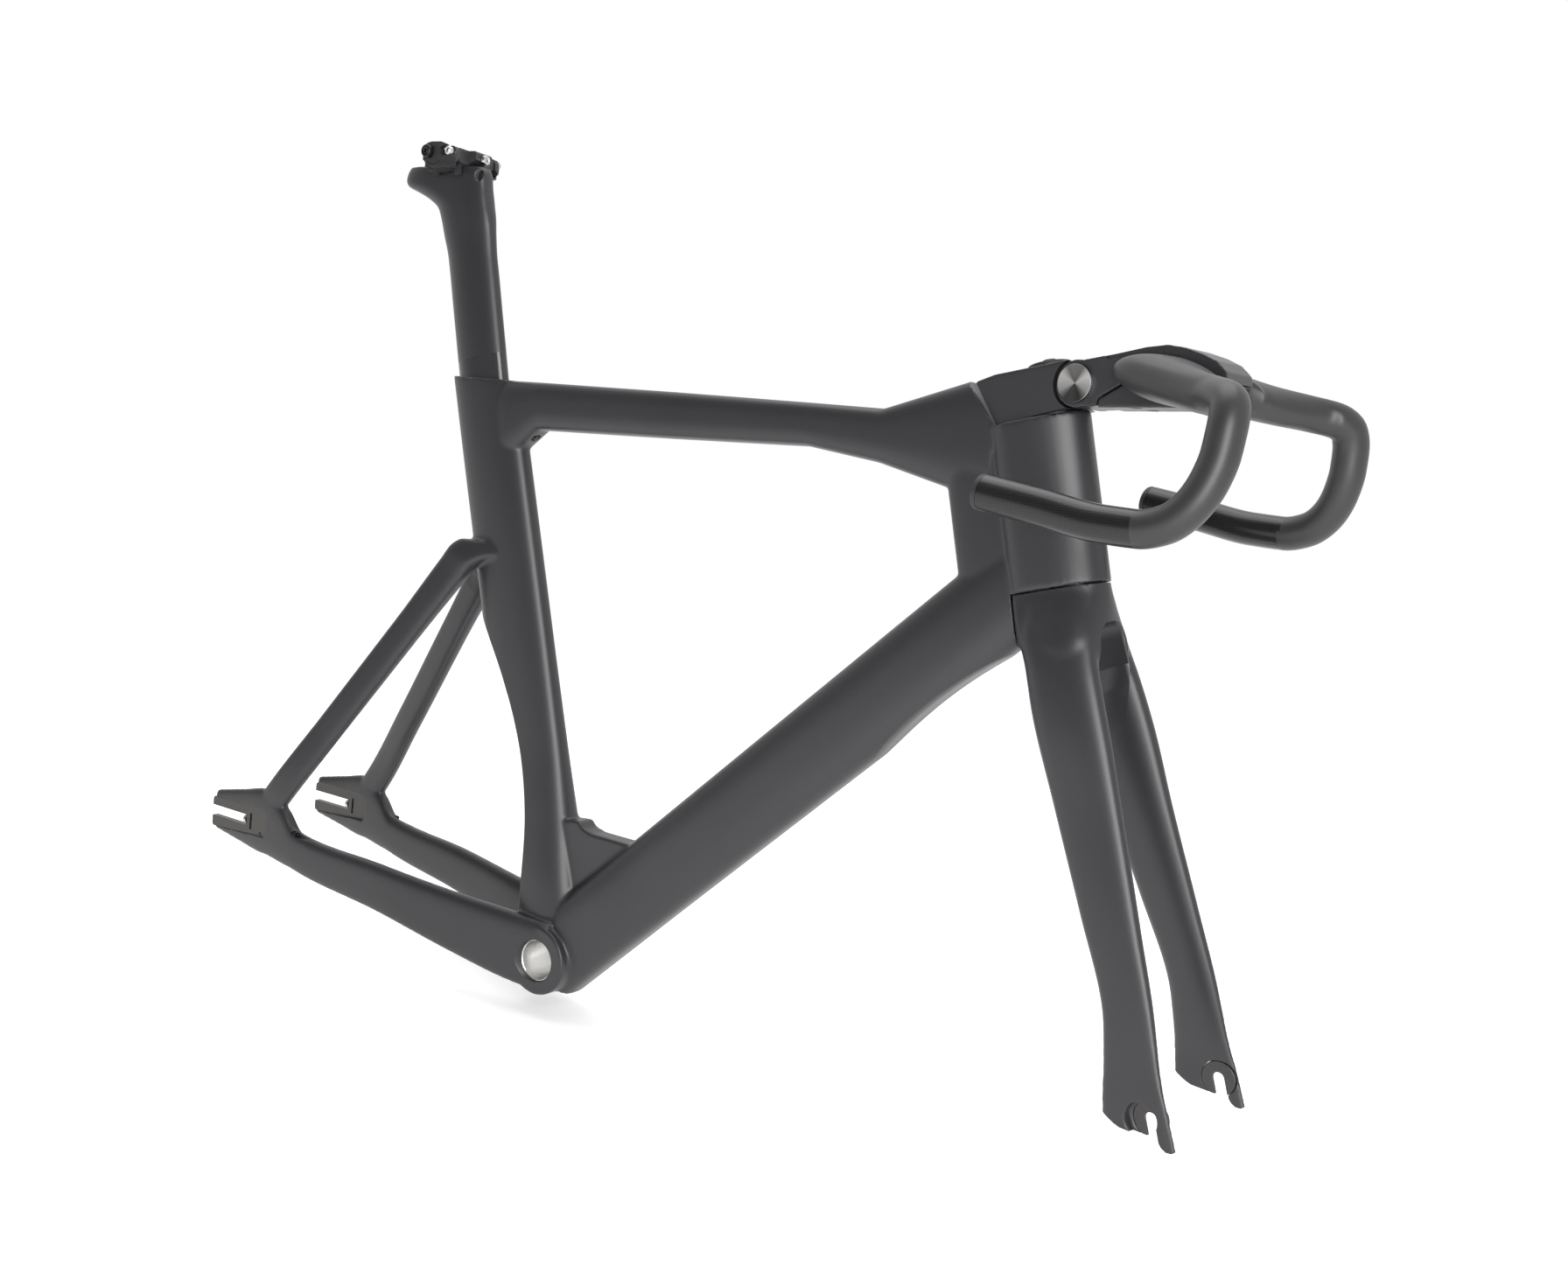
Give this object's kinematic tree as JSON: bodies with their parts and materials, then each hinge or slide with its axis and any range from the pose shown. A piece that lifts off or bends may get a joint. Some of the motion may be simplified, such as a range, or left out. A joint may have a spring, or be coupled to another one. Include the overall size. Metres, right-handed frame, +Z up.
{
  "type": "bicycle frame",
  "caption": "Aero track frameset: deep-section frame with rear-facing axle slots, slim fork, angle-adjustable stem, carbon drop handlebar and aero seatpost with a tilting rail clamp.",
  "frame": {"origin": "centre of the bottom bracket, on the crank axis midway between the shell faces", "axes": "+X to the front of the bicycle, +Y to the rider's left, +Z up; the steering is stored turned 8.5 degrees to the right, as pictured"},
  "size_m": [1.0224, 0.2656, 0.7404],
  "materials": {
    "carbon": "satin charcoal paint over carbon fibre composite",
    "dark_metal": "dark grey anodised",
    "black_steel": "black oxide",
    "silver": "turned and polished",
    "bearing_steel": "ground",
    "black_plastic": "matte"
  },
  "bodies": {
    "frame": {"head_tube": "carbon", "top_tube": "carbon", "down_tube": "carbon", "seat_tube": "carbon", "bottom_bracket_shell": "carbon", "bottom_bracket_sleeve": "silver", "chainstay_left": "carbon", "chainstay_right": "carbon", "dropout_plate_left": "dark_metal", "dropout_plate_right": "dark_metal", "seatstay_left": "carbon", "seatstay_right": "carbon", "lower_outer_race": "bearing_steel", "upper_outer_race": "bearing_steel", "seatpost_wedge": "dark_metal", "seatpost_wedge_bolt": "black_steel"},
    "chain_tensioner_left": {"chain_tensioner_screw_left": "black_steel"},
    "chain_tensioner_right": {"chain_tensioner_screw_right": "black_steel"},
    "seatpost": {"seatpost": "carbon"},
    "saddle_clamp": {"saddle_cradle": "black_steel", "rail_jaw_left": "black_steel", "rail_jaw_right": "black_steel", "rail_clamp_bolt_rear": "black_steel", "rail_clamp_bolt_front": "silver", "rail_clamp_nut_rear": "silver", "rail_clamp_nut_front": "silver", "rail_block_bolt": "silver"},
    "steering": {"fork": "carbon", "fork_tip_plate_left": "dark_metal", "fork_tip_plate_right": "dark_metal", "steerer_tube": "carbon", "lower_ball_cage": "bearing_steel", "upper_ball_cage": "bearing_steel", "lower_inner_race": "bearing_steel", "upper_inner_race": "bearing_steel", "compression_ring": "silver", "stem_steerer_clamp": "carbon", "stem_clamp_bolt_lower": "black_steel", "stem_clamp_bolt_upper": "black_steel", "steerer_top_cap": "carbon", "preload_bolt": "black_steel", "expander_plug": "silver", "pivot_axle": "silver"},
    "stem_arm": {"stem_arm": "carbon", "bar_clamp_cap": "carbon", "pivot_cap_left": "silver", "pivot_cap_right": "silver", "bar_clamp_bolt_front_left": "black_steel", "bar_clamp_bolt_front_right": "black_steel", "bar_clamp_bolt_rear_left": "black_steel", "bar_clamp_bolt_rear_right": "black_steel"},
    "handlebar": {"handlebar": "carbon", "bar_end_plug_left": "black_plastic", "bar_end_plug_right": "black_plastic"}
  },
  "joints": [
    {"name": "steering", "type": "hinge", "parent": "frame", "child": "steering", "pos_m": [0.424, 0, 0.4605], "axis": [-0.2656, 0, 0.9641], "range_deg": [-26.5, 43.5]},
    {"name": "stem_angle", "type": "hinge", "parent": "steering", "child": "stem_arm", "pos_m": [0.43568, -0.00452, 0.53191], "axis": [0.1425, 0.989, 0.0393], "range_deg": [-15, 12]},
    {"name": "bar_roll", "type": "hinge", "parent": "stem_arm", "child": "handlebar", "pos_m": [0.50693, -0.01499, 0.537], "axis": [0.1425, 0.989, 0.0393], "range_deg": [-8, 8]},
    {"name": "seatpost_height", "type": "slide", "parent": "frame", "child": "seatpost", "axis": [-0.2419, 0, 0.9703], "range_m": [-0.006, 0.045]},
    {"name": "saddle_tilt", "type": "hinge", "parent": "seatpost", "child": "saddle_clamp", "pos_m": [-0.215, 0, 0.745], "axis": [0, 1, 0], "range_deg": [-5, 2.5]},
    {"name": "chain_tensioner_left", "type": "slide", "parent": "frame", "child": "chain_tensioner_left", "axis": [-1, 0, 0], "range_m": [-0.005, 0.02]},
    {"name": "chain_tensioner_right", "type": "slide", "parent": "frame", "child": "chain_tensioner_right", "axis": [-1, 0, 0], "range_m": [-0.005, 0.02]}
  ]
}
